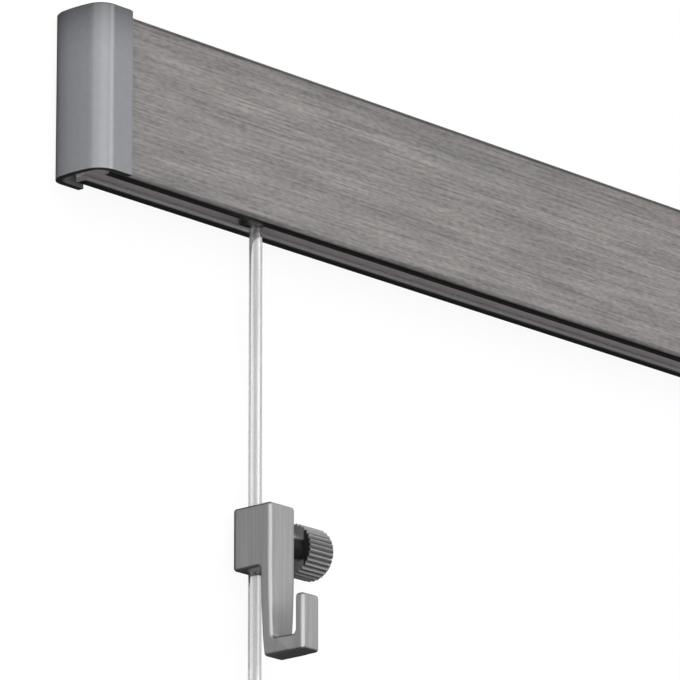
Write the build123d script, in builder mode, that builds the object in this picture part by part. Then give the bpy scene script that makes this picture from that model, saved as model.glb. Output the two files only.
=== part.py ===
"""Picture rail: a flat extruded rail with moulded end caps, and a hanger with an adjustable hook.

Millimetres. X runs along the rail, Y points to the edge that is uppermost in use, and Z points
away from the wall. The rail is stored lying on its back, so the backs of the end caps are at
Z = 0 and Z points up. The origin is below the middle of the rail and its two caps.
"""

import math
import os

from build123d import *

os.makedirs("parts", exist_ok=True)

# Rail section: a thin face, a clip channel open to the wall and a hanger channel open downwards
rail_length = 1000.0
rail_height = 25.0
rail_depth = 7.57
face_wall = 1.0
back_wall = 1.2
top_wall = 1.2
web_wall = 1.1
lip_height = 0.75
front_lip = 1.78
rear_lip = 2.29
hanger_channel_height = 7.0
upper_clip_lip = 3.0
lower_clip_lip = 2.0
clip_bead = 0.45
face_bottom_radius = 0.9
face_top_radius = 0.35
back_corner_radius = 0.3
lip_edge_radius = 0.25

# End caps: a shell that wraps the end of the rail, open below and on the rail's side
cap_overlap = 2.88
cap_end_gap = 3.0
cap_wall = 1.0
cap_top = 0.7
cap_back_gap = 1.28
cap_crown_radius = 20.0
cap_corner_radius = 3.0
cap_edge_radius = 0.3
cap_top_chamfer = 0.25
tongue_length = 12.0
tongue_clearance = 0.12
tongue_chamfer = 0.8

# Hanger shoe: goes in through the slot and turns across its two lips
shoe_left = 2.1
shoe_right = 1.2
shoe_height = 4.4
shoe_corner_radius = 1.0
shoe_edge_radius = 0.4
shoe_front_clearance = 0.35
shoe_back_clearance = 0.37
shoe_lip_clearance = 0.05
shoe_socket = 2.8

# Cord, and how far below the rail it bends down to the hook and runs level again
cord_diameter = 2.0
cord_from_cap_face = 39.45
cord_slot_clearance = 0.15
cord_upper_bend = 3.0
cord_lower_bend = 15.0
cord_side_shift = 1.85

# Hook, measured down from the top of its block and forward from the cord
hook_drop = 42.9
hook_width = 5.64
hook_leg_width = 4.9
hook_foot_width = 3.9
hook_tip_width = 3.75
block_height = 9.65
block_back = 1.97
block_front = 5.58
leg_thickness = 2.05
leg_height = 19.6
hook_height = 23.35
hook_floor = 2.65
hook_gap = 4.05
upturn_thickness = 1.65
upturn_height = 8.7
hook_edge_radius = 0.55
hook_inner_radius = 0.6
bore_clearance = 0.15

# Thumb screw, square to the cord
screw_drop = 4.5
knob_diameter = 8.05
knob_thickness = 5.5
knob_reach = 7.9
knob_ridges = 31
ridge_depth = 0.28
knob_near_chamfer = 0.1
knob_far_chamfer = 0.35
collar_diameter = 5.0
collar_length = 3.4
screw_diameter = 3.0
screw_clearance = 0.05
screw_tip_gap = 0.1

# Coil of the cord that the picture does not show, and the tie round it
coil_columns = 4
coil_layers = 3
coil_middle_diameter = 22.9
coil_lift = 0.5
coil_y = -150.0
coil_edge_bevel = 0.6
cord_descent_start = 53.0
cord_descent_end = 22.0
coil_entry_diameters = 2.0
tie_width = 3.0
tie_thickness = 0.4
tie_corner_radius = 1.3
tie_clearance = 0.1
tie_slack = 0.2

# Places worked out from the sizes above
cord_radius = cord_diameter / 2
cap_height = rail_height + cap_top
bottom_y = -cap_height / 2
rail_top_y = bottom_y + rail_height
rail_back_z = cap_wall + cap_back_gap
rail_face_z = rail_back_z + rail_depth
rail_end_x = -rail_length / 2
cap_outer_x = rail_end_x - cap_end_gap - cap_wall
cap_inner_x = rail_end_x + cap_overlap
cap_depth = rail_face_z + cap_wall
channel_back_z = rail_back_z + back_wall
channel_front_z = rail_face_z - face_wall
slot_back_z = rail_back_z + rear_lip
slot_front_z = rail_face_z - front_lip
lip_top_y = bottom_y + lip_height
web_bottom_y = lip_top_y + hanger_channel_height
web_top_y = web_bottom_y + web_wall
clip_top_y = rail_top_y - top_wall
mouth_bottom_y = web_top_y + lower_clip_lip
mouth_top_y = rail_top_y - upper_clip_lip

cord_x = cap_outer_x + cord_from_cap_face
cord_z = slot_back_z + cord_radius + cord_slot_clearance
hook_cord_z = knob_diameter / 2
hook_cord_x = cord_x + cord_side_shift
hook_top_y = bottom_y - hook_drop
screw_y = hook_top_y - screw_drop

coil_outer_turn = coil_middle_diameter / 2 + (coil_columns - 1) * cord_radius
coil_outer_radius = coil_outer_turn + cord_radius
coil_inner_radius = coil_outer_radius - coil_columns * cord_diameter
coil_height = coil_layers * cord_diameter
coil_x = hook_cord_x + coil_outer_turn
coil_bottom_z = coil_lift


# Rail, one extrusion: sketch axes are Y and Z
with BuildPart() as rail:
    with BuildSketch(Plane.YZ.offset(rail_end_x)) as rail_section:
        with Locations((bottom_y, rail_back_z)):
            Rectangle(rail_height, rail_depth, align=(Align.MIN, Align.MIN))
        outer = rail_section.vertices()
        fillet(outer.group_by(Axis.Y)[-1].sort_by(Axis.X)[0], radius=face_bottom_radius)
        outer = rail_section.vertices()
        fillet(outer.group_by(Axis.Y)[-1].sort_by(Axis.X)[-1], radius=face_top_radius)
        fillet(rail_section.vertices().group_by(Axis.Y)[0], radius=back_corner_radius)
        # Hanger channel and the slot between its two lips
        with Locations((lip_top_y, channel_back_z)):
            Rectangle(
                hanger_channel_height, channel_front_z - channel_back_z,
                align=(Align.MIN, Align.MIN), mode=Mode.SUBTRACT,
            )
        with Locations((bottom_y, slot_back_z)):
            Rectangle(
                lip_height, slot_front_z - slot_back_z,
                align=(Align.MIN, Align.MIN), mode=Mode.SUBTRACT,
            )
        # Clip channel and its mouth towards the wall
        with Locations((web_top_y, channel_back_z)):
            Rectangle(
                clip_top_y - web_top_y, channel_front_z - channel_back_z,
                align=(Align.MIN, Align.MIN), mode=Mode.SUBTRACT,
            )
        with Locations((mouth_bottom_y, rail_back_z)):
            Rectangle(
                mouth_top_y - mouth_bottom_y, back_wall,
                align=(Align.MIN, Align.MIN), mode=Mode.SUBTRACT,
            )
        # Beads on the inner edges of the mouth, which the wall clips spring over
        for bead_y, bead_side in ((mouth_bottom_y, Align.MAX), (mouth_top_y, Align.MIN)):
            with Locations((bead_y, channel_back_z)):
                Rectangle(back_wall / 2, clip_bead, align=(bead_side, Align.MIN))
        lip_edges = rail_section.vertices().filter_by(
            lambda v: abs(v.Y - slot_back_z) < 0.01 and v.X < web_bottom_y
        )
        fillet(lip_edges, radius=lip_edge_radius)
    extrude(amount=rail_length)

rail.part.label = "rail"
export_step(rail.part, "parts/rail.step")


# Left end cap: sketch axes are X and Z, and the extrusions run down from the top
with BuildPart() as end_cap_left:
    # The outside, and then the hollow, which has the same outline a wall further in
    for inset, drop, mode in ((0, 0, Mode.ADD), (cap_wall, cap_top, Mode.SUBTRACT)):
        crown_radius = cap_crown_radius - inset
        crown = crown_radius - math.sqrt(crown_radius ** 2 - (cap_depth / 2 - inset) ** 2)
        end_x = cap_outer_x + inset
        back = (end_x + crown, inset)
        front = (end_x + crown, cap_depth - inset)
        with BuildSketch(Plane.XZ.offset(bottom_y + drop)) as cap_outline:
            with BuildLine():
                ThreePointArc(back, (end_x, cap_depth / 2), front)
                Polyline(front, (cap_inner_x + inset, front[1]), (cap_inner_x + inset, inset), back)
            make_face()
            corners = cap_outline.vertices().group_by(Axis.X)
            fillet(corners[0], radius=cap_corner_radius - inset)
            fillet(corners[-1], radius=cap_edge_radius)
        extrude(amount=cap_height, mode=mode)
    chamfer(end_cap_left.faces().sort_by(Axis.Y)[-1].edges(), length=cap_top_chamfer)
    # Tongue that grips in the rail's clip channel, bevelled where it goes in
    tongue_back_z = channel_back_z + clip_bead
    tongue_height = clip_top_y - web_top_y - 2 * tongue_clearance
    tongue_depth = channel_front_z - tongue_back_z - 2 * tongue_clearance
    with BuildSketch(Plane.YZ.offset(cap_outer_x + cap_wall)):
        with Locations(((web_top_y + clip_top_y) / 2, (tongue_back_z + channel_front_z) / 2)):
            Rectangle(tongue_height, tongue_depth)
    extrude(amount=tongue_length)
    chamfer(end_cap_left.faces().sort_by(Axis.X)[-1].edges(), length=tongue_chamfer)

end_cap_left.part.label = "end_cap_left"
export_step(end_cap_left.part, "parts/end_cap_left.step")


# Right end cap, the mirror image of the left one
with BuildPart() as end_cap_right:
    add(mirror(end_cap_left.part, about=Plane.YZ, mode=Mode.PRIVATE))

end_cap_right.part.label = "end_cap_right"
export_step(end_cap_right.part, "parts/end_cap_right.step")


# Hanger shoe: sketch axes are X and Z, seen along the cord
shoe_bottom_y = lip_top_y + shoe_lip_clearance
shoe_front_z = channel_front_z - shoe_front_clearance
shoe_back_z = channel_back_z + shoe_back_clearance
with BuildPart() as hanger_shoe:
    with BuildSketch(Plane.XZ.offset(-shoe_bottom_y - shoe_height)):
        with Locations((cord_x - shoe_left, shoe_back_z)):
            RectangleRounded(
                shoe_left + shoe_right, shoe_front_z - shoe_back_z, shoe_corner_radius,
                align=(Align.MIN, Align.MIN),
            )
    extrude(amount=shoe_height)
    fillet(hanger_shoe.faces().sort_by(Axis.Y)[-1].edges(), radius=shoe_edge_radius)
    with BuildSketch(Plane.XZ.offset(-shoe_bottom_y)):
        with Locations((cord_x, cord_z)):
            Circle(cord_radius)
    extrude(amount=-shoe_socket, mode=Mode.SUBTRACT)

hanger_shoe.part.label = "hanger_shoe"
export_step(hanger_shoe.part, "parts/hanger_shoe.step")


# Cord: out of the shoe, down to the height of the hook, straight through it, then to the floor
cord_points = [
    (cord_x, shoe_bottom_y + shoe_socket, cord_z),
    (cord_x, bottom_y - cord_upper_bend, cord_z),
    (hook_cord_x, bottom_y - cord_lower_bend, hook_cord_z),
    (hook_cord_x, coil_y + cord_descent_start, hook_cord_z),
    (hook_cord_x, coil_y + cord_descent_end, cord_radius),
    (hook_cord_x, coil_y + coil_entry_diameters * cord_diameter, coil_bottom_z + cord_radius),
]


def bend_radii(points):
    """The radius at each inner point: 0.45 of its shorter run over the tangent of half its turn."""
    radii = []
    for before, here, after in zip(points, points[1:], points[2:]):
        run_in = Vector(here) - Vector(before)
        run_out = Vector(after) - Vector(here)
        half_turn = math.radians(run_in.get_angle(run_out)) / 2
        radii.append(0.45 * min(run_in.length, run_out.length) / math.tan(half_turn))
    return radii


cord_radii = bend_radii(cord_points)
print("cord bend radii:", [round(radius, 1) for radius in cord_radii])

with BuildPart() as cord:
    with BuildLine() as cord_path:
        FilletPolyline(*cord_points, radius=cord_radii)
    with BuildSketch(Plane(origin=cord_path.line @ 0, z_dir=cord_path.line % 0)):
        Circle(cord_radius)
    sweep()

tube_length = cord_path.wire().length
tube_volume = math.pi * cord_radius ** 2 * tube_length
print("cord tube length", round(tube_length, 2), "volume ratio", cord.part.volume / tube_volume)
coil_length = math.pi * coil_middle_diameter * coil_columns * coil_layers
print("cord length in all", round(tube_length + coil_length, 1))

cord.part.label = "cord"
export_step(cord.part, "parts/cord.step")


# Coil: the outer shape of its turns
with BuildPart() as cord_coil:
    with BuildSketch(Plane.XY.offset(coil_bottom_z)):
        with Locations((coil_x, coil_y)):
            Circle(coil_outer_radius)
            Circle(coil_inner_radius, mode=Mode.SUBTRACT)
    extrude(amount=coil_height)
    chamfer(cord_coil.edges().filter_by(GeomType.CIRCLE), length=coil_edge_bevel)

cord_coil.part.label = "cord_coil"
export_step(cord_coil.part, "parts/cord_coil.step")


# Tie round the coil's turns: sketch axes are X and Z
with BuildPart() as coil_tie:
    with BuildSketch(Plane.YZ.offset(coil_x - tie_width / 2)):
        with Locations((coil_y - (coil_inner_radius + coil_outer_radius) / 2,
                        coil_bottom_z + coil_height / 2)):
            inside_width = coil_outer_radius - coil_inner_radius + 2 * tie_slack
            inside_height = coil_height + 2 * tie_clearance
            RectangleRounded(
                inside_width + 2 * tie_thickness, inside_height + 2 * tie_thickness,
                tie_corner_radius,
            )
            RectangleRounded(
                inside_width, inside_height, tie_corner_radius - tie_thickness, mode=Mode.SUBTRACT
            )
    extrude(amount=tie_width)

coil_tie.part.label = "coil_tie"
export_step(coil_tie.part, "parts/coil_tie.step")


# Hook casting: a block on the cord, a leg down its front and an upturned foot
leg_back_z = hook_cord_z + block_front - leg_thickness
hook_back_z = hook_cord_z - block_back
hook_front_z = hook_cord_z + block_front
upturn_back_z = hook_front_z + hook_gap
upturn_front_z = upturn_back_z + upturn_thickness
hook_bottom_y = hook_top_y - hook_height
block_bottom_y = hook_top_y - block_height
hook_floor_y = hook_bottom_y + hook_floor
upturn_top_y = hook_bottom_y + upturn_height

with BuildPart() as hook_body:
    # Side view, sketch axes Y and Z
    with BuildSketch(Plane.YZ.offset(hook_cord_x - hook_width / 2)) as hook_side:
        with BuildLine():
            Polyline(
                (hook_top_y, hook_back_z),
                (block_bottom_y, hook_back_z),
                (block_bottom_y, leg_back_z),
                (hook_bottom_y, leg_back_z),
                (hook_bottom_y, upturn_front_z),
                (upturn_top_y, upturn_front_z),
                (upturn_top_y, upturn_back_z),
                (hook_floor_y, upturn_back_z),
                (hook_floor_y, hook_front_z),
                (hook_top_y, hook_front_z),
                close=True,
            )
        make_face()
        seat = hook_side.vertices().filter_by(lambda v: abs(v.X - hook_floor_y) < 0.01)
        notch = hook_side.vertices().filter_by(
            lambda v: abs(v.X - block_bottom_y) < 0.01 and abs(v.Y - leg_back_z) < 0.01
        )
        fillet(seat + notch, radius=hook_inner_radius)
    extrude(amount=hook_width)
    # Front view, which narrows the leg and the foot downwards
    with BuildSketch(Plane(origin=(hook_cord_x, 0, hook_back_z))):
        with BuildLine():
            Line((0, hook_top_y), (-hook_width / 2, hook_top_y))
            Line((-hook_width / 2, hook_top_y), (-hook_width / 2, block_bottom_y))
            leg_side = TangentArc(
                (-hook_width / 2, block_bottom_y),
                (-hook_leg_width / 2, hook_top_y - leg_height),
                tangent=(0, -1),
            )
            TangentArc(leg_side @ 1, (-hook_foot_width / 2, hook_bottom_y), tangent=leg_side % 1)
            Line((-hook_foot_width / 2, hook_bottom_y), (0, hook_bottom_y))
            Line((0, hook_bottom_y), (0, hook_top_y))
        make_face()
        mirror(about=Plane.YZ)
    extrude(amount=upturn_front_z - hook_back_z, mode=Mode.INTERSECT)
    # View along the cord, which narrows the foot towards its tip
    with BuildSketch(Plane.XZ.offset(-hook_top_y)):
        with BuildLine():
            Polyline(
                (hook_cord_x - hook_width / 2, hook_back_z),
                (hook_cord_x - hook_width / 2, hook_front_z),
                (hook_cord_x - hook_leg_width / 2, hook_front_z),
                (hook_cord_x - hook_tip_width / 2, upturn_back_z),
                (hook_cord_x - hook_tip_width / 2, upturn_front_z),
                (hook_cord_x + hook_tip_width / 2, upturn_front_z),
                (hook_cord_x + hook_tip_width / 2, upturn_back_z),
                (hook_cord_x + hook_leg_width / 2, hook_front_z),
                (hook_cord_x + hook_width / 2, hook_front_z),
                (hook_cord_x + hook_width / 2, hook_back_z),
                close=True,
            )
        make_face()
    extrude(amount=hook_height, mode=Mode.INTERSECT)
    fillet(hook_body.edges(), radius=hook_edge_radius)
    # Bore for the cord and hole for the screw
    with BuildSketch(Plane.XZ.offset(-hook_top_y)):
        with Locations((hook_cord_x, hook_cord_z)):
            Circle(cord_radius + bore_clearance)
    extrude(amount=block_height, mode=Mode.SUBTRACT)
    with BuildSketch(Plane.YZ.offset(hook_cord_x)):
        with Locations((screw_y, hook_cord_z)):
            Circle(screw_diameter / 2 + screw_clearance)
    extrude(amount=hook_width, mode=Mode.SUBTRACT)

hook_body.part.label = "hook_body"
export_step(hook_body.part, "parts/hook_body.step")


# Thumb screw: turned head with straight ridges, collar and shank
knob_left_x = hook_cord_x + knob_reach
knob_right_x = knob_left_x + knob_thickness
screw_tip_x = hook_cord_x + cord_radius + screw_tip_gap

with BuildPart() as thumb_screw:
    # Head with its grooves
    with BuildSketch(Plane.YZ.offset(knob_left_x)):
        with Locations((screw_y, hook_cord_z)):
            Circle(knob_diameter / 2)
            with PolarLocations(knob_diameter / 2, knob_ridges):
                Rectangle(ridge_depth * 2, ridge_depth * 2, rotation=45, mode=Mode.SUBTRACT)
    extrude(amount=knob_thickness)
    # Turned outline of the head, its ends bevelled
    with BuildSketch(Plane(origin=(0, screw_y, hook_cord_z))):
        with BuildLine():
            Polyline(
                (knob_left_x, 0),
                (knob_left_x, knob_diameter / 2 - knob_near_chamfer),
                (knob_left_x + knob_near_chamfer, knob_diameter / 2),
                (knob_right_x - knob_far_chamfer, knob_diameter / 2),
                (knob_right_x, knob_diameter / 2 - knob_far_chamfer),
                (knob_right_x, 0),
                close=True,
            )
        make_face()
    revolve(axis=Axis((0, screw_y, hook_cord_z), (1, 0, 0)), mode=Mode.INTERSECT)
    with BuildSketch(Plane.YZ.offset(knob_left_x)):
        with Locations((screw_y, hook_cord_z)):
            Circle(collar_diameter / 2)
    extrude(amount=-collar_length)
    with BuildSketch(Plane.YZ.offset(screw_tip_x)):
        with Locations((screw_y, hook_cord_z)):
            Circle(screw_diameter / 2)
    extrude(amount=knob_left_x - screw_tip_x)

thumb_screw.part.label = "thumb_screw"
export_step(thumb_screw.part, "parts/thumb_screw.step")
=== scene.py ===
"""Looks of a picture rail: its extrusion, end caps, clear cord and clamping hook, in a plain studio.

Lengths are metres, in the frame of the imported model: X along the rail, Y to its upper edge, and
Z out of the wall, which is up, because the rail lies on its back.
"""

import math

import bpy
from bpy.props import FloatProperty, FloatVectorProperty, IntProperty, PointerProperty
from mathutils import Matrix, Vector


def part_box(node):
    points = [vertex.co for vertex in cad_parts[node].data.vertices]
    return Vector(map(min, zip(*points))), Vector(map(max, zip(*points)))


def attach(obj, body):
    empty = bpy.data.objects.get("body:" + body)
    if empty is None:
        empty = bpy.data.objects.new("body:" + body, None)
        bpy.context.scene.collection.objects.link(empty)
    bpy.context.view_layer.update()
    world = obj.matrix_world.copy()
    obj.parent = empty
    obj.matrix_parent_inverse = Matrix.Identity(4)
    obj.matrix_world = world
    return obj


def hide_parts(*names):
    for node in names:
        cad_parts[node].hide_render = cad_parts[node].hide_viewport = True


bl_info = {
    "name": "Picture Rail",
    "version": (1, 0, 0),
    "blender": (4, 5, 0),
    "location": "View3D > Sidebar > Picture Rail",
    "description": "Finishes a picture rail with its end caps, cord and hook, and sets up its studio",
    "category": "Object",
}

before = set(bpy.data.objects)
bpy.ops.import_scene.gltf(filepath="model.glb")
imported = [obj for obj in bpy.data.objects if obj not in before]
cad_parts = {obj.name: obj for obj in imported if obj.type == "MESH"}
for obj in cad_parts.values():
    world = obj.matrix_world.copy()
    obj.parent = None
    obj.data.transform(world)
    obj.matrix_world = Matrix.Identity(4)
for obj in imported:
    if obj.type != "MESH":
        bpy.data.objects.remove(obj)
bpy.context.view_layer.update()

MM = 0.001

# The soft band of light: its middle along Y, and how far from there it starts to fade and ends
BAND_MIDDLE = 0.25
BAND_FULL = 0.2
BAND_END = 0.65

# The lamps: where each stands, seen from the rail, and how many degrees wide it is
LAMPS = {
    "front_lamp": ((-0.33, 0.28, 0.90), 50.0),
    "side_lamp": ((-0.86, 0.05, 0.51), 120.0),
    "low_lamp": ((-0.60, -0.45, 0.66), 50.0),
    "far_lamp": ((0.50, 0.86, 0.12), 40.0),
    "edge_lamp": ((0.33, 0.28, 0.90), 24.0),
}

# How far upwards a face has to look to start counting as a flat top, and to be one
TOP_STARTS = 0.92
TOP_IS_FLAT = 0.99

# Inputs of a Mix node, as numbers and as colours
NUMBER_A, NUMBER_B, COLOUR_A, COLOUR_B = 2, 3, 6, 7


def linear(hex_colour):
    """An sRGB hex colour as the linear red, green and blue that the renderer works in."""
    channels = [int(hex_colour[i:i + 2], 16) / 255 for i in (0, 2, 4)]
    return [c / 12.92 if c <= 0.04045 else ((c + 0.055) / 1.055) ** 2.4 for c in channels]


def add_node(tree, kind, inputs=None, stops=(), **settings):
    """Adds a node with its settings, its inputs as values or links, and a colour ramp's stops.

    An input that is a node itself is linked from that node's first output in use.
    """
    node = tree.nodes.new(kind)
    for name, value in settings.items():
        setattr(node, name, value)
    for name, value in (inputs or {}).items():
        if isinstance(value, bpy.types.Node):
            value = next(output for output in value.outputs if output.enabled)
        if isinstance(value, bpy.types.NodeSocket):
            tree.links.new(value, node.inputs[name])
        else:
            node.inputs[name].default_value = value
    for i, (place, colour) in enumerate(stops):
        points = node.color_ramp.elements
        point = points[i] if i < len(points) else points.new(place)
        point.position = place
        point.color = (*colour, 1.0)
    return node


def new_material(name):
    """An empty node material and its tree."""
    material = bpy.data.materials.new(name)
    material.use_nodes = True
    material.node_tree.nodes.clear()
    return material, material.node_tree


def grain_pattern(tree, lengths, detail, seed):
    """A pattern of grains that have these lengths along X, Y and Z, in millimetres."""
    place = add_node(tree, "ShaderNodeTexCoord")
    scale = [1 / (length * MM) for length in lengths]
    grain = add_node(
        tree, "ShaderNodeMapping",
        {"Vector": place.outputs["Object"], "Scale": scale, "Location": (seed, seed, seed)},
    )
    return add_node(
        tree, "ShaderNodeTexNoise",
        {"Vector": grain, "Scale": 1.0, "Detail": detail, "Roughness": 0.6},
    )


def axes_of(tree, coordinate):
    """X, Y and Z of a coordinate, such as Object, a point's place, or Normal, the way it faces."""
    place = add_node(tree, "ShaderNodeTexCoord")
    return add_node(tree, "ShaderNodeSeparateXYZ", {0: place.outputs[coordinate]}).outputs


def axis_mask(tree, axis, start, end, strength=1.0):
    """A mask along an axis: nothing at the start, and this strong from the end on, in metres."""
    return add_node(
        tree, "ShaderNodeMapRange",
        {"Value": axes_of(tree, "Object")[axis], "From Min": start, "From Max": end,
         "To Min": 0.0, "To Max": strength},
    )


def off_top(tree):
    """A mask that leaves out flat tops, so that painted shade along an edge stays a line and doesn't run
    over the face.
    """
    return add_node(
        tree, "ShaderNodeMapRange",
        {"Value": axes_of(tree, "Normal")["Y"], "From Min": TOP_STARTS, "From Max": TOP_IS_FLAT,
         "To Min": 1.0, "To Max": 0.0},
    )


def seen_rays(tree):
    """1 for what the eye sees, straight or through clear nylon, and 0 for light on other things."""
    path = add_node(tree, "ShaderNodeLightPath").outputs
    return add_node(
        tree, "ShaderNodeMath", {0: path["Is Camera Ray"], 1: path["Is Transmission Ray"]},
        operation="MAXIMUM",
    )


def shade(colour, factor):
    """A linear colour made lighter or darker."""
    return [channel * factor for channel in colour]


def give_material(node_name, material):
    """Gives a node of the frame its material."""
    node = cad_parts[node_name]
    node.data.materials.clear()
    node.data.materials.append(material)


class StudioSettings(bpy.types.PropertyGroup):
    """Camera, lamps and floor."""

    aim: FloatVectorProperty(
        name="Aim", description="Point at the middle of the picture",
        default=(-446.770 * MM, -26.333 * MM, 6.845 * MM), subtype="XYZ", unit="LENGTH",
    )
    distance: FloatProperty(
        name="Distance", description="From the camera to the aim", default=1061.98 * MM, unit="LENGTH",
    )
    azimuth: FloatProperty(
        name="Azimuth", description="Turn of the view from straight on towards the rail's far end",
        default=math.radians(48.2438), subtype="ANGLE",
    )
    elevation: FloatProperty(
        name="Elevation", description="Tilt of the view upwards, from below the rail",
        default=math.radians(16.2531), subtype="ANGLE",
    )
    roll: FloatProperty(
        name="Roll", description="Turn of the picture about the line of sight",
        default=math.radians(-0.0639), subtype="ANGLE",
    )
    lens: FloatProperty(
        name="Lens", description="Focal length on a sensor 36 mm wide, in millimetres", default=370.26,
    )
    front_lamp: FloatProperty(
        name="Front Lamp", description="Light on a face that looks straight at this lamp", default=0.17,
    )
    side_lamp: FloatProperty(
        name="Side Lamp", description="Light on a face that looks straight at this lamp", default=0.90,
    )
    low_lamp: FloatProperty(
        name="Low Lamp", description="Light on a face that looks straight at this lamp", default=0.24,
    )
    far_lamp: FloatProperty(
        name="Far Lamp", description="Light of the lamp on the sides away from the camera", default=0.45,
    )
    edge_lamp: FloatProperty(
        name="Edge Lamp", description="Light of the narrow lamp that draws the corners' bright line",
        default=0.14,
    )
    sky_light: FloatProperty(
        name="Sky Light", description="Brightness of the soft band of light all round", default=0.40,
    )
    floor_glow: FloatProperty(
        name="Floor Glow", description="Share of the floor's white that is its own", default=0.92,
    )
    floor_gloss: FloatProperty(
        name="Floor Gloss", description="How white glossy surfaces see the floor", default=0.02,
    )
    floor_size: FloatProperty(
        name="Floor Size", description="Side of the square floor", default=40.0, unit="LENGTH",
    )


class CordSettings(bpy.types.PropertyGroup):
    """Clear cord and its put-away coil."""

    diameter: FloatProperty(
        name="Diameter", description="Thickness of the cord", default=2 * MM, unit="LENGTH",
    )
    turns_across: IntProperty(
        name="Turns Across", description="Turns that lie side by side in one layer of the coil",
        default=4,
    )
    layers: IntProperty(name="Layers", description="Layers of the coil", default=3)
    points_per_turn: IntProperty(
        name="Points Per Turn", description="Control points in one turn of the coil", default=24,
    )
    colour: FloatVectorProperty(
        name="Colour", description="Tint of the clear nylon", default=linear("FAFBFB"), subtype="COLOR",
    )


class RailSettings(bpy.types.PropertyGroup):
    """Finish of the extruded rail and its end caps."""

    colour: FloatVectorProperty(
        name="Rail Colour", description="Mean colour of the anodised face", default=linear("8E8A89"),
        subtype="COLOR",
    )
    # Painted shade: this near black is laid on the rail's and the caps' edges where shade falls, not a
    # colour of their own
    painted_shade_colour: FloatVectorProperty(
        name="Rim Colour", description="Colour of the dark rims along the lower edges",
        default=linear("080606"), subtype="COLOR",
    )
    # Painted light: the metal inside and behind the face is drawn near white, standing in for the light
    # that reaches into the channel
    inside_lit_colour: FloatVectorProperty(
        name="Bare Colour", description="Colour of the bare metal behind the brushed face",
        default=linear("F2ECED"), subtype="COLOR",
    )
    rim_width: FloatProperty(
        name="Rim Width", description="Width of the dark rim on the rail's face", default=0.3 * MM,
        unit="LENGTH",
    )
    streak_length: FloatProperty(
        name="Streak Length", description="Length of a long brushed streak, in millimetres",
        default=15.0,
    )
    streak_width: FloatProperty(
        name="Streak Width", description="Width of a brushed streak, in millimetres", default=0.31,
    )
    cap_colour: FloatVectorProperty(
        name="Cap Colour", description="Colour of the moulded end caps", default=linear("87898D"),
        subtype="COLOR",
    )


class HookSettings(bpy.types.PropertyGroup):
    """Finish of the hook, its thumb screw and the dark small parts."""

    colour: FloatVectorProperty(
        name="Hook Colour", description="Colour of the plated casting", default=linear("A6A6A6"),
        subtype="COLOR",
    )
    screw_colour: FloatVectorProperty(
        name="Screw Colour", description="Colour of the turned thumb screw", default=linear("A8A8A8"),
        subtype="COLOR",
    )
    # Painted shadow: the block's shadow on the collar and the head's near face, laid on as a dark colour
    collar_shadow_colour: FloatVectorProperty(
        name="Black Colour", description="Colour of the blackened collar behind the screw's head",
        default=linear("272727"), subtype="COLOR",
    )
    # The shoe's and tie's own black, also used as painted shade on the hook's edges and the knurl's
    # grooves
    black_and_shade_colour: FloatVectorProperty(
        name="Dark Colour", description="Colour of the black shoe and coil tie",
        default=linear("17171A"), subtype="COLOR",
    )


class PictureRailSettings(bpy.types.PropertyGroup):
    """All settings of the picture rail."""

    studio: PointerProperty(type=StudioSettings)
    cord: PointerProperty(type=CordSettings)
    rail: PointerProperty(type=RailSettings)
    hook: PointerProperty(type=HookSettings)


def sight_axes(studio):
    """Right, up and forward of the camera."""
    a, e = studio.azimuth, studio.elevation
    forward = Vector((math.sin(a) * math.cos(e), math.sin(e), -math.cos(a) * math.cos(e)))
    right = Vector((math.cos(a), 0.0, math.sin(a)))
    turn = Matrix.Rotation(-studio.roll, 3, forward)
    right = turn @ right
    return right, right.cross(forward), forward


def add_camera(studio):
    """The camera, at the angle and distance of the photograph."""
    right, up, forward = sight_axes(studio)
    data = bpy.data.cameras.new("camera")
    data.lens = studio.lens
    data.sensor_width = 36.0
    data.clip_start, data.clip_end = 0.01, 100.0
    camera = bpy.data.objects.new("camera", data)
    place = Vector(studio.aim) - forward * studio.distance
    turn = Matrix((right, up, -forward)).transposed()
    camera.matrix_world = Matrix.Translation(place) @ turn.to_4x4()
    bpy.context.scene.collection.objects.link(camera)
    bpy.context.scene.camera = camera


def add_lamp(name, towards, level, width):
    """A distant round softbox. At level 1 it lights a white face that looks at it fully white."""
    data = bpy.data.lights.new(name, "SUN")
    data.energy = level * math.pi
    data.angle = math.radians(width)
    lamp = bpy.data.objects.new(name, data)
    lamp.rotation_mode = "QUATERNION"
    lamp.rotation_quaternion = Vector(towards).to_track_quat("Z", "Y")
    bpy.context.scene.collection.objects.link(lamp)


def floor_material(studio):
    """Pale studio floor: white to the eye and through clear nylon, with the shadows kept."""
    material, tree = new_material("studio_floor_paper")
    path = add_node(tree, "ShaderNodeLightPath").outputs
    mirrored = add_node(
        tree, "ShaderNodeMath", {0: path["Is Glossy Ray"], 1: studio.floor_gloss}, operation="MULTIPLY",
    )
    strength = add_node(
        tree, "ShaderNodeMath", {0: seen_rays(tree), 1: studio.floor_glow, 2: mirrored},
        operation="MULTIPLY_ADD",
    )
    grey = 1.0 - studio.floor_glow
    lit = add_node(tree, "ShaderNodeBsdfDiffuse", {"Color": (grey, grey, grey, 1.0)})
    glow = add_node(tree, "ShaderNodeEmission", {"Color": (1.0, 1.0, 1.0, 1.0), "Strength": strength})
    surface = add_node(tree, "ShaderNodeAddShader", {0: lit, 1: glow})
    add_node(tree, "ShaderNodeOutputMaterial", {"Surface": surface})
    return material


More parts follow.
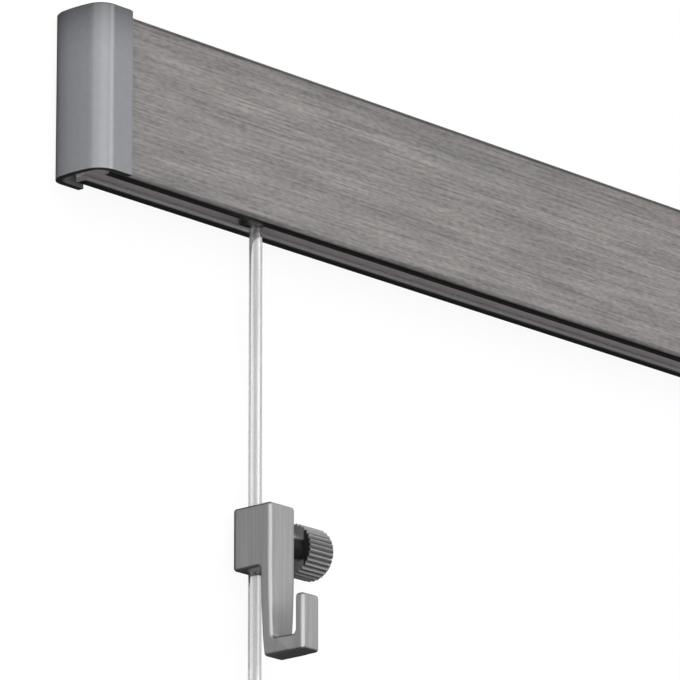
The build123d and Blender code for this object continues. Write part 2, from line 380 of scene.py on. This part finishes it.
def set_world(studio):
    """A soft band of light all round, level with the front lamp, and white behind everything."""
    world = bpy.data.worlds.new("studio")
    world.use_nodes = True
    tree = world.node_tree
    tree.nodes.clear()
    level = axes_of(tree, "Generated")["Y"]
    off_middle = add_node(tree, "ShaderNodeMath", {0: level, 1: BAND_MIDDLE}, operation="SUBTRACT")
    distance = add_node(tree, "ShaderNodeMath", {0: off_middle}, operation="ABSOLUTE")
    strength = add_node(
        tree, "ShaderNodeMapRange",
        {"Value": distance, "From Min": BAND_FULL, "From Max": BAND_END,
         "To Min": studio.sky_light, "To Max": 0.0},
        interpolation_type="SMOOTHSTEP",
    )
    light = add_node(tree, "ShaderNodeBackground", {"Strength": strength})
    white = add_node(tree, "ShaderNodeBackground", {"Color": (1.0, 1.0, 1.0, 1.0), "Strength": 1.0})
    surface = add_node(tree, "ShaderNodeMixShader", {0: seen_rays(tree), 1: light, 2: white})
    add_node(tree, "ShaderNodeOutputWorld", {"Surface": surface})
    bpy.context.scene.world = world


class PICTURE_RAIL_OT_studio(bpy.types.Operator):
    """Add the camera, the lamps and the floor"""

    bl_idname = "picture_rail.studio"
    bl_label = "Studio"

    def execute(self, context):
        studio = context.scene.picture_rail.studio
        add_camera(studio)
        for name, (towards, width) in LAMPS.items():
            add_lamp(name, towards, getattr(studio, name), width)
        set_world(studio)
        half = studio.floor_size / 2
        mesh = bpy.data.meshes.new("floor")
        corners = [(-half, -half, 0), (half, -half, 0), (half, half, 0), (-half, half, 0)]
        mesh.from_pydata(corners, [], [(0, 1, 2, 3)])
        floor = bpy.data.objects.new("floor", mesh)
        mesh.materials.append(floor_material(studio))
        context.scene.collection.objects.link(floor)
        context.scene.view_settings.view_transform = "Standard"
        return {"FINISHED"}


def straight_route():
    """The cord's route from the shoe to the coil, as listed points."""
    return [
        (-464.55, -9.25, 5.72),
        (-464.55, -15.85, 5.72),
        (-462.70, -27.85, 4.025),
        (-462.70, -39.85, 4.025),
        (-462.70, -66.0, 4.025),
        (-462.70, -97.0, 4.025),
        (-462.70, -128.0, 1.0),
        (-462.70, -146.0, 1.5),
    ]


def coil_route(cord):
    """The turns of the coil: in, up a layer, out, up a layer and in again."""
    low, high = (Vector(corner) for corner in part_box("cord_coil"))
    centre = (low + high) / 2
    outer_turn = (high.x - low.x) / 2 - cord.diameter / 2
    step = 2 * math.pi / cord.points_per_turn
    turns = []
    for layer in range(cord.layers):
        rows = range(cord.turns_across)
        turns += [(row, layer) for row in (rows if layer % 2 == 0 else reversed(rows))]
    points = []
    for number, here in enumerate(turns):
        there = turns[min(number + 1, len(turns) - 1)]
        for i in range(cord.points_per_turn):
            part = (i + 0.5) / cord.points_per_turn
            # Over its last quarter a turn eases across to the next one
            across = max(0.0, part * 4 - 3)
            across = across * across * (3 - 2 * across)
            row = here[0] + (there[0] - here[0]) * across
            layer = here[1] + (there[1] - here[1]) * across
            reach = (outer_turn - row * cord.diameter) / math.cos(step / 2)
            angle = math.pi + (i + 0.5) * step
            points.append((
                centre.x + reach * math.cos(angle),
                centre.y + reach * math.sin(angle),
                low.z + (layer + 0.5) * cord.diameter,
            ))
    return points


def clear_nylon(cord):
    """Drawn nylon: clear, its tint painted grey along the middle and towards the rims by how squarely it
    faces the eye: painted shade for the light it bends away.
    """
    material, tree = new_material("clear_nylon_drawn")
    bend = add_node(tree, "ShaderNodeLayerWeight", {"Blend": 0.5})
    tint = add_node(
        tree, "ShaderNodeValToRGB", {"Fac": bend.outputs["Facing"]},
        stops=[
            (0.0, shade(cord.colour, 0.46)), (0.045, shade(cord.colour, 0.48)),
            (0.10, cord.colour), (0.20, cord.colour), (0.34, shade(cord.colour, 0.36)),
            (0.60, shade(cord.colour, 0.44)), (1.0, shade(cord.colour, 0.70)),
        ],
    )
    surface = add_node(
        tree, "ShaderNodeBsdfPrincipled",
        {"Base Color": tint, "Roughness": 0.03, "IOR": 1.53, "Transmission Weight": 0.85},
    )
    add_node(tree, "ShaderNodeOutputMaterial", {"Surface": surface})
    return material


class PICTURE_RAIL_OT_cord(bpy.types.Operator):
    """Add the clear cord with its coil"""

    bl_idname = "picture_rail.cord"
    bl_label = "Cord"

    def execute(self, context):
        settings = context.scene.picture_rail.cord
        route = [tuple(value * MM for value in point) for point in straight_route()]
        points = route + coil_route(settings)
        curve = bpy.data.curves.new("clear_cord", "CURVE")
        curve.dimensions = "3D"
        curve.bevel_depth = settings.diameter / 2
        curve.bevel_resolution = 5
        curve.use_fill_caps = True
        line = curve.splines.new("NURBS")
        line.points.add(len(points) - 1)
        for point, place in zip(line.points, points):
            point.co = (*place, 1.0)
        line.order_u = 3
        line.use_endpoint_u = True
        line.resolution_u = 4
        curve.materials.append(clear_nylon(settings))
        cord = bpy.data.objects.new("clear_cord", curve)
        context.scene.collection.objects.link(cord)
        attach(cord, "hanger_body")
        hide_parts("cord", "cord_coil")
        return {"FINISHED"}


def brushed_face(tree, rail):
    """The brushed pattern and its colour: streaks along the rail, in soft warm and cool patches."""
    wide = rail.streak_width
    short_length = rail.streak_length / 12
    # The real brush lines are ten times finer. These are as coarse as the photo shows them.
    long = grain_pattern(tree, (rail.streak_length, wide, wide), 0.0, 0.0)
    short = grain_pattern(tree, (short_length, wide, wide), 0.0, 11.0)
    streaks = add_node(tree, "ShaderNodeMix", {"Factor": 0.45, NUMBER_A: long, NUMBER_B: short})
    streak_colour = add_node(
        tree, "ShaderNodeValToRGB", {"Fac": streaks},
        stops=[
            (0.25, shade(rail.colour, 0.69)), (0.5, rail.colour), (0.75, shade(rail.colour, 1.31)),
        ],
    )
    # Faint patches, a little darker and cooler or lighter and warmer than the rest
    patch_lengths = (24.0, 3.5, 3.5)
    patches = add_node(
        tree, "ShaderNodeValToRGB", {"Fac": grain_pattern(tree, patch_lengths, 2.0, 7.0)},
        stops=[(0.3, (0.86, 0.865, 0.885)), (0.7, (1.15, 1.14, 1.115))],
    )
    colour = add_node(
        tree, "ShaderNodeMix", {"Factor": 1.0, COLOUR_A: streak_colour, COLOUR_B: patches},
        data_type="RGBA", blend_type="MULTIPLY",
    )
    return streaks, colour


def painted_rail_shade(tree, rail, inside):
    """Painted shade on the rail's sharp edges: its two rims, and its lips behind the face."""
    low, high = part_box("rail")
    outside = add_node(tree, "ShaderNodeMath", {0: 1.0, 1: inside}, operation="SUBTRACT")
    # Painted shade along the lower rim of the face
    lower = axis_mask(tree, "Y", low[1] + rail.rim_width, low[1] + rail.rim_width / 3)
    lower = add_node(tree, "ShaderNodeMath", {0: lower, 1: outside}, operation="MULTIPLY")

    # Painted shade on the lips behind the face
    lip_height = 0.8 * MM
    lips = axis_mask(tree, "Y", low[1] + lip_height, low[1] + lip_height - 0.1 * MM, 0.45)
    lips = add_node(tree, "ShaderNodeMath", {0: lips, 1: inside}, operation="MULTIPLY")

    # Painted shade: the lips' undersides darken from half to full on their way out from the slot
    slot_middle = low[2] + 3.8 * MM
    half_dark = 1.5 * MM
    fully_dark = 2.15 * MM
    from_slot = add_node(
        tree, "ShaderNodeMath", {0: axes_of(tree, "Object")["Z"], 1: slot_middle},
        operation="SUBTRACT",
    )
    from_slot = add_node(tree, "ShaderNodeMath", {0: from_slot}, operation="ABSOLUTE")
    outwards = add_node(
        tree, "ShaderNodeMapRange",
        {"Value": from_slot, "From Min": half_dark, "From Max": fully_dark, "To Min": 0.5,
         "To Max": 1.0},
    )
    lowest = axis_mask(tree, "Y", low[1] + 0.06 * MM, low[1] + 0.03 * MM)
    lowest = add_node(tree, "ShaderNodeMath", {0: lowest, 1: outwards}, operation="MULTIPLY")

    # Painted shade: the upper rim covers the corner's round, and a faint painted shade fades down from
    # it
    rim_start, rim_end = high[1] - rail.rim_width * 2.6, high[1] - rail.rim_width * 1.7
    fade_height = 5 * MM
    upper = axis_mask(tree, "Y", rim_start, rim_end, 0.7)
    fade = axis_mask(tree, "Y", high[1] - fade_height, high[1], 0.18)
    upper = add_node(tree, "ShaderNodeMath", {0: upper, 1: fade}, operation="MAXIMUM")
    rims = add_node(tree, "ShaderNodeMath", {0: upper, 1: off_top(tree)}, operation="MULTIPLY")
    for mask in (lower, lips, lowest):
        rims = add_node(tree, "ShaderNodeMath", {0: rims, 1: mask}, operation="MAXIMUM")
    return rims


def brushed_aluminium(rail):
    """Aluminium with a brushed, anodised face, bare inside and behind in a near white that is painted
    light, and painted shade on its sharp edges.
    """
    material, tree = new_material("brushed_anodised_aluminium")
    streaks, face = brushed_face(tree, rail)
    # The anodised skin is the front wall and the outside of the top wall
    low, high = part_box("rail")
    front_wall = 0.95 * MM
    top_skin = 0.3 * MM
    inside = axis_mask(tree, "Z", high[2] - front_wall, high[2] - front_wall - 0.05 * MM)
    under_top = axis_mask(tree, "Y", high[1] - top_skin, high[1] - top_skin * 2)
    inside = add_node(tree, "ShaderNodeMath", {0: inside, 1: under_top}, operation="MULTIPLY")
    # The metal inside and behind is drawn near white: painted light for the light that reaches into the
    # channel
    # Die lines of the extrusion, drawn several times wider than real ones so that they show
    drawn = add_node(
        tree, "ShaderNodeValToRGB", {"Fac": grain_pattern(tree, (40.0, 0.4, 0.4), 1.0, 5.0)},
        stops=[(0.3, shade(rail.inside_lit_colour, 0.9)), (0.7, rail.inside_lit_colour)],
    )
    colour = add_node(
        tree, "ShaderNodeMix", {"Factor": inside, COLOUR_A: face, COLOUR_B: drawn}, data_type="RGBA",
    )
    # Painted shade on the rims and lips, in near black
    rims = painted_rail_shade(tree, rail, inside)
    colour = add_node(
        tree, "ShaderNodeMix", {"Factor": rims, COLOUR_A: colour, COLOUR_B: (*rail.painted_shade_colour, 1.0)},
        data_type="RGBA",
    )
    rough = add_node(
        tree, "ShaderNodeMapRange",
        {"Value": streaks, "From Min": 0.3, "From Max": 0.7, "To Min": 0.40, "To Max": 0.52},
    )
    bump = add_node(tree, "ShaderNodeBump", {"Height": streaks, "Strength": 0.15, "Distance": 0.02 * MM})
    surface = add_node(
        tree, "ShaderNodeBsdfPrincipled",
        {"Base Color": colour, "Metallic": 0.45, "Roughness": rough, "Normal": bump},
    )
    add_node(tree, "ShaderNodeOutputMaterial", {"Surface": surface})
    return material


def moulded_cap_plastic(rail):
    """ABS, injection moulded: smooth cool grey with a soft sheen and a faint orange peel, and painted
    shade at its edges and towards the wall.
    """
    material, tree = new_material("moulded_grey_abs")
    # The peel's dimples are 1.2 mm across, as on real mouldings
    peel = grain_pattern(tree, (1.2, 1.2, 1.2), 2.0, 3.0)
    tone = add_node(
        tree, "ShaderNodeValToRGB", {"Fac": peel},
        stops=[(0.3, shade(rail.cap_colour, 0.97)), (0.7, shade(rail.cap_colour, 1.03))],
    )
    low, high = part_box("end_cap_left")

    # Painted shade: dark at the upper edge, which fades on the way down, and a thin dark lower edge
    fade_height = 10 * MM
    edge_height = 0.35 * MM
    rims = axis_mask(tree, "Y", high[1] - fade_height, high[1])
    rims = add_node(tree, "ShaderNodeMath", {0: rims, 1: 2.4}, operation="POWER")
    rims = add_node(tree, "ShaderNodeMath", {0: rims, 1: 0.60}, operation="MULTIPLY")
    upper = axis_mask(tree, "Y", high[1] - edge_height, high[1], 0.75)
    rims = add_node(tree, "ShaderNodeMath", {0: rims, 1: upper}, operation="MAXIMUM")
    rims = add_node(tree, "ShaderNodeMath", {0: rims, 1: off_top(tree)}, operation="MULTIPLY")
    lower = axis_mask(tree, "Y", low[1] + 0.08 * MM, low[1] + 0.03 * MM)

    # Painted shade: towards the wall the flank darkens, on top of what the upper edge does
    rear_start, rear_end = low[2] + 4.4 * MM, low[2] + 1.6 * MM
    rear = axis_mask(tree, "Z", rear_start, rear_end, 0.28)
    light = add_node(tree, "ShaderNodeMath", {0: 1.0, 1: rims}, operation="SUBTRACT")
    rims = add_node(tree, "ShaderNodeMath", {0: rear, 1: light, 2: rims}, operation="MULTIPLY_ADD")
    rims = add_node(tree, "ShaderNodeMath", {0: rims, 1: lower}, operation="MAXIMUM")
    colour = add_node(
        tree, "ShaderNodeMix", {"Factor": rims, COLOUR_A: tone, COLOUR_B: (*rail.painted_shade_colour, 1.0)},
        data_type="RGBA",
    )
    bump = add_node(tree, "ShaderNodeBump", {"Height": peel, "Strength": 0.06, "Distance": 0.01 * MM})
    surface = add_node(
        tree, "ShaderNodeBsdfPrincipled",
        {"Base Color": colour, "Roughness": 0.20, "IOR": 1.54, "Normal": bump},
    )
    add_node(tree, "ShaderNodeOutputMaterial", {"Surface": surface})
    return material


class PICTURE_RAIL_OT_rail(bpy.types.Operator):
    """Finish the extruded rail and its end caps"""

    bl_idname = "picture_rail.rail"
    bl_label = "Rail and Caps"

    def execute(self, context):
        settings = context.scene.picture_rail.rail
        give_material("rail", brushed_aluminium(settings))
        plastic = moulded_cap_plastic(settings)
        for name in ("end_cap_left", "end_cap_right"):
            give_material(name, plastic)
        return {"FINISHED"}


def satin_metal(tree, colour, lines, roughness):
    """A satin plated metal with its colour and faint lines."""
    bump = add_node(tree, "ShaderNodeBump", {"Height": lines, "Strength": 0.1, "Distance": 0.01 * MM})
    surface = add_node(
        tree, "ShaderNodeBsdfPrincipled",
        {"Base Color": colour, "Metallic": 0.4, "Roughness": roughness, "Normal": bump},
    )
    add_node(tree, "ShaderNodeOutputMaterial", {"Surface": surface})


def cast_zinc(hook):
    """Zinc, die-cast and satin plated: grey with fine lines down it, and painted shade on its edges and
    bottom.
    """
    material, tree = new_material("satin_plated_zinc")
    # The satin finish's lines are drawn several times wider than real ones so that they show
    lines = grain_pattern(tree, (0.5, 14.0, 0.5), 1.0, 5.0)
    tone = add_node(
        tree, "ShaderNodeValToRGB", {"Fac": lines},
        stops=[(0.3, shade(hook.colour, 0.91)), (0.7, shade(hook.colour, 1.09))],
    )
    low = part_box("hook_body")[0]

    # Painted shade: edges that turn upwards are dark all over, and those that turn down at the block and
    # the foot
    leg_top = low[1] + 6.6 * MM
    foot_top = low[1] + 1.6 * MM
    above = axis_mask(tree, "Y", leg_top, leg_top + 1.0 * MM)
    below = axis_mask(tree, "Y", foot_top, foot_top - 0.5 * MM)
    ends = add_node(tree, "ShaderNodeMath", {0: above, 1: below}, operation="ADD")
    upwards = axes_of(tree, "Normal")["Y"]
    level = add_node(tree, "ShaderNodeMath", {0: upwards}, operation="ABSOLUTE")
    level = add_node(tree, "ShaderNodeMath", {0: level, 1: ends}, operation="MULTIPLY")
    level = add_node(tree, "ShaderNodeMath", {0: level, 1: upwards}, operation="MAXIMUM")
    level = add_node(tree, "ShaderNodeMath", {0: level, 1: off_top(tree)}, operation="MULTIPLY")
    dark = add_node(
        tree, "ShaderNodeMapRange",
        {"Value": level, "From Min": 0.2, "From Max": 0.6, "To Min": 0.0, "To Max": 0.78},
    )
    # Painted shade along the rear edge, which turns away from the light
    rear_start, rear_end = low[2] + 0.9 * MM, low[2] + 0.5 * MM
    rear = axis_mask(tree, "Z", rear_start, rear_end, 0.6)
    dark = add_node(tree, "ShaderNodeMath", {0: dark, 1: rear}, operation="MAXIMUM")
    colour = add_node(
        tree, "ShaderNodeMix", {"Factor": dark, COLOUR_A: tone, COLOUR_B: (*hook.black_and_shade_colour, 1.0)},
        data_type="RGBA",
    )
    satin_metal(tree, colour, lines, 0.37)
    return material


def knurl_grooves(tree, centre, radius):
    """Painted shade in the knurl's grooves: a little in from the ridges, and not on the flat ends."""
    ridge_depth = 0.08 * MM
    groove_depth = 0.30 * MM
    place = add_node(tree, "ShaderNodeTexCoord").outputs
    off = add_node(
        tree, "ShaderNodeVectorMath", {0: place["Object"], 1: (0.0, centre[1], centre[2])},
        operation="SUBTRACT",
    )
    across = add_node(tree, "ShaderNodeVectorMath", {0: off, 1: (0.0, 1.0, 1.0)}, operation="MULTIPLY")
    reach = add_node(tree, "ShaderNodeVectorMath", {0: across}, operation="LENGTH")
    groove = add_node(
        tree, "ShaderNodeMapRange",
        {"Value": reach, "From Min": radius - ridge_depth, "From Max": radius - groove_depth,
         "To Min": 0.0, "To Max": 0.62},
    )
    along = add_node(tree, "ShaderNodeMath", {0: axes_of(tree, "Normal")["X"]}, operation="ABSOLUTE")
    sides = add_node(
        tree, "ShaderNodeMapRange",
        {"Value": along, "From Min": 0.5, "From Max": 0.8, "To Min": 1.0, "To Max": 0.0},
    )
    return add_node(tree, "ShaderNodeMath", {0: groove, 1: sides}, operation="MULTIPLY")


def turned_brass(hook):
    """Brass, turned, knurled and satin plated: light ridges, painted shade in the grooves, and the
    block's painted shadow on the collar.
    """
    material, tree = new_material("satin_turned_brass")
    low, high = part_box("thumb_screw")
    centre = [(low[i] + high[i]) / 2 for i in range(3)]
    # The satin finish's lines are drawn several times wider than real ones so that they show
    lines = grain_pattern(tree, (14.0, 0.3, 0.3), 1.0, 5.0)
    tone = add_node(
        tree, "ShaderNodeValToRGB", {"Fac": lines},
        stops=[(0.3, shade(hook.screw_colour, 0.93)), (0.7, shade(hook.screw_colour, 1.07))],
    )
    # Painted shade in the knurl's grooves
    knurled = add_node(
        tree, "ShaderNodeMix",
        {"Factor": knurl_grooves(tree, centre, (high[2] - low[2]) / 2), COLOUR_A: tone,
         COLOUR_B: (*hook.black_and_shade_colour, 1.0)},
        data_type="RGBA",
    )

    # Painted shadow of the block on the collar and the head's near face; above and below, apart from its
    # very front, it is a lighter grey of painted half light
    upper = axis_mask(tree, "Y", centre[1] + 1.0 * MM, centre[1] + 1.3 * MM)
    lower = axis_mask(tree, "Y", centre[1] - 1.8 * MM, centre[1] - 2.2 * MM)
    behind = axis_mask(tree, "Z", centre[2] + 2.8 * MM, centre[2] + 2.5 * MM)
    half_lit = add_node(tree, "ShaderNodeMath", {0: upper, 1: lower}, operation="MAXIMUM")
    half_lit = add_node(tree, "ShaderNodeMath", {0: half_lit, 1: behind}, operation="MULTIPLY")
    shadowed = add_node(
        tree, "ShaderNodeMix",
        {"Factor": half_lit, COLOUR_A: (*hook.collar_shadow_colour, 1.0),
         COLOUR_B: (*shade(hook.screw_colour, 0.6), 1.0)},
        data_type="RGBA",
    )
    head_length = 5.5 * MM
    head_start = high[0] - head_length
    collar = axis_mask(tree, "X", head_start + 0.2 * MM, head_start + 0.05 * MM)
    colour = add_node(
        tree, "ShaderNodeMix", {"Factor": collar, COLOUR_A: knurled, COLOUR_B: shadowed},
        data_type="RGBA",
    )
    satin_metal(tree, colour, lines, 0.38)
    return material


def black_moulding(hook):
    """Polyamide, moulded black: matt, with a fine grain."""
    material, tree = new_material("moulded_black_polyamide")
    # The mould's eroded grain is 0.15 mm wide
    tone = add_node(
        tree, "ShaderNodeValToRGB", {"Fac": grain_pattern(tree, (0.15, 0.15, 0.15), 2.0, 9.0)},
        stops=[(0.3, shade(hook.black_and_shade_colour, 0.8)), (0.7, shade(hook.black_and_shade_colour, 1.3))],
    )
    surface = add_node(
        tree, "ShaderNodeBsdfPrincipled", {"Base Color": tone, "Roughness": 0.5, "IOR": 1.53},
    )
    add_node(tree, "ShaderNodeOutputMaterial", {"Surface": surface})
    return material


class PICTURE_RAIL_OT_hook(bpy.types.Operator):
    """Finish the hook, its thumb screw, the shoe and the coil's tie"""

    bl_idname = "picture_rail.hook"
    bl_label = "Hook and Shoe"

    def execute(self, context):
        settings = context.scene.picture_rail.hook
        give_material("hook_body", cast_zinc(settings))
        give_material("thumb_screw", turned_brass(settings))
        black = black_moulding(settings)
        for name in ("hanger_shoe", "coil_tie"):
            give_material(name, black)
        return {"FINISHED"}


class PICTURE_RAIL_PT_panel(bpy.types.Panel):
    """Sidebar panel of the picture rail"""

    bl_idname = "PICTURE_RAIL_PT_panel"
    bl_label = "Picture Rail"
    bl_space_type = "VIEW_3D"
    bl_region_type = "UI"
    bl_category = "Picture Rail"

    def draw(self, context):
        for group, operator in STEPS:
            box = self.layout.box()
            box.operator(operator.bl_idname)
            settings = getattr(context.scene.picture_rail, group)
            for name in settings.__annotations__:
                box.prop(settings, name)


STEPS = (
    ("studio", PICTURE_RAIL_OT_studio),
    ("cord", PICTURE_RAIL_OT_cord),
    ("rail", PICTURE_RAIL_OT_rail),
    ("hook", PICTURE_RAIL_OT_hook),
)

CLASSES = (
    StudioSettings,
    CordSettings,
    RailSettings,
    HookSettings,
    PictureRailSettings,
    *(operator for group, operator in STEPS),
    PICTURE_RAIL_PT_panel,
)


def register():
    """Registers the classes and their settings on the scene."""
    for item in CLASSES:
        bpy.utils.register_class(item)
    bpy.types.Scene.picture_rail = PointerProperty(type=PictureRailSettings)


def unregister():
    """Takes the settings and the classes away again."""
    del bpy.types.Scene.picture_rail
    for item in reversed(CLASSES):
        bpy.utils.unregister_class(item)


def main():
    """Registers the add-on and runs its steps in order."""
    register()
    bpy.ops.picture_rail.studio()
    bpy.ops.picture_rail.cord()
    bpy.ops.picture_rail.rail()
    bpy.ops.picture_rail.hook()


if __name__ == "__main__":
    main()
